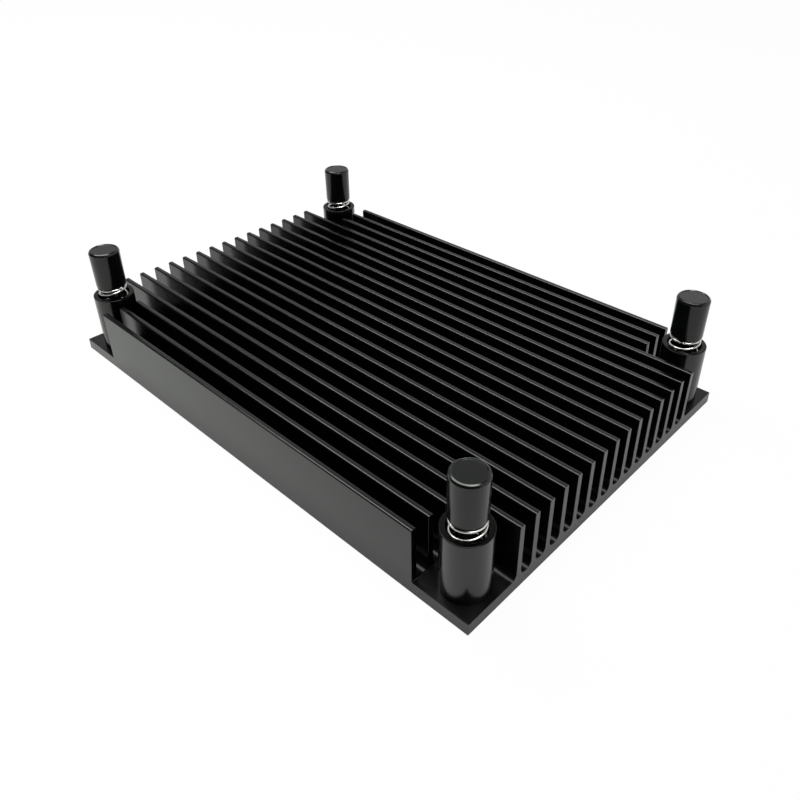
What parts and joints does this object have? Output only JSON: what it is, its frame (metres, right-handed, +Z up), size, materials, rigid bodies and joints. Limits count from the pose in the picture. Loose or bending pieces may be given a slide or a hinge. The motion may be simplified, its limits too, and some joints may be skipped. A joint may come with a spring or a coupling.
{
  "type": "finned heat sink with spring-loaded screws",
  "caption": "Flat black aluminium heat sink with straight fins and a captive spring-loaded screw standing in a sleeve at each corner.",
  "frame": {"origin": "centre of the base plate's flat underside", "axes": "+X along the fins, which is the long side; +Y across the fins; +Z up, out of the base towards the fins and caps"},
  "size_m": [0.11, 0.075, 0.0245],
  "materials": {
    "anodised_extrusion": "black anodised, fine satin",
    "anodised_sleeve": "turned, black anodised, satin",
    "anodised_cap": "turned, black anodised, satin",
    "blackened_steel": "black oxide",
    "spring_wire": "bright drawn wire"
  },
  "bodies": {
    "sink": {"finned_body": "anodised_extrusion", "sleeve_front_left": "anodised_sleeve", "sleeve_front_right": "anodised_sleeve", "sleeve_rear_left": "anodised_sleeve", "sleeve_rear_right": "anodised_sleeve"},
    "spring_front_left": {"spring_front_left": "spring_wire"},
    "screw_front_left": {"screw_front_left": "blackened_steel", "cap_front_left": "anodised_cap"},
    "spring_front_right": {"spring_front_right": "spring_wire"},
    "screw_front_right": {"screw_front_right": "blackened_steel", "cap_front_right": "anodised_cap"},
    "spring_rear_left": {"spring_rear_left": "spring_wire"},
    "screw_rear_left": {"screw_rear_left": "blackened_steel", "cap_rear_left": "anodised_cap"},
    "spring_rear_right": {"spring_rear_right": "spring_wire"},
    "screw_rear_right": {"screw_rear_right": "blackened_steel", "cap_rear_right": "anodised_cap"}
  },
  "joints": [
    {"name": "press_front_left", "type": "slide", "parent": "sink", "child": "spring_front_left", "axis": [0, 0, -1], "range_m": [0, 0.004], "stiffness_N_per_m": 420, "springref_m": -0.003, "deforming": ["spring_front_left"]},
    {"name": "turn_front_left", "type": "hinge", "parent": "spring_front_left", "child": "screw_front_left", "pos_m": [-0.0487, -0.0322, 0.0163], "axis": [0, 0, 1], "continuous": true},
    {"name": "press_front_right", "type": "slide", "parent": "sink", "child": "spring_front_right", "axis": [0, 0, -1], "range_m": [0, 0.004], "stiffness_N_per_m": 420, "springref_m": -0.003, "deforming": ["spring_front_right"]},
    {"name": "turn_front_right", "type": "hinge", "parent": "spring_front_right", "child": "screw_front_right", "pos_m": [0.0499, -0.0322, 0.0163], "axis": [0, 0, 1], "continuous": true},
    {"name": "press_rear_left", "type": "slide", "parent": "sink", "child": "spring_rear_left", "axis": [0, 0, -1], "range_m": [0, 0.004], "stiffness_N_per_m": 420, "springref_m": -0.003, "deforming": ["spring_rear_left"]},
    {"name": "turn_rear_left", "type": "hinge", "parent": "spring_rear_left", "child": "screw_rear_left", "pos_m": [-0.0487, 0.0322, 0.0163], "axis": [0, 0, 1], "continuous": true},
    {"name": "press_rear_right", "type": "slide", "parent": "sink", "child": "spring_rear_right", "axis": [0, 0, -1], "range_m": [0, 0.004], "stiffness_N_per_m": 420, "springref_m": -0.003, "deforming": ["spring_rear_right"]},
    {"name": "turn_rear_right", "type": "hinge", "parent": "spring_rear_right", "child": "screw_rear_right", "pos_m": [0.0499, 0.0322, 0.0163], "axis": [0, 0, 1], "continuous": true}
  ]
}
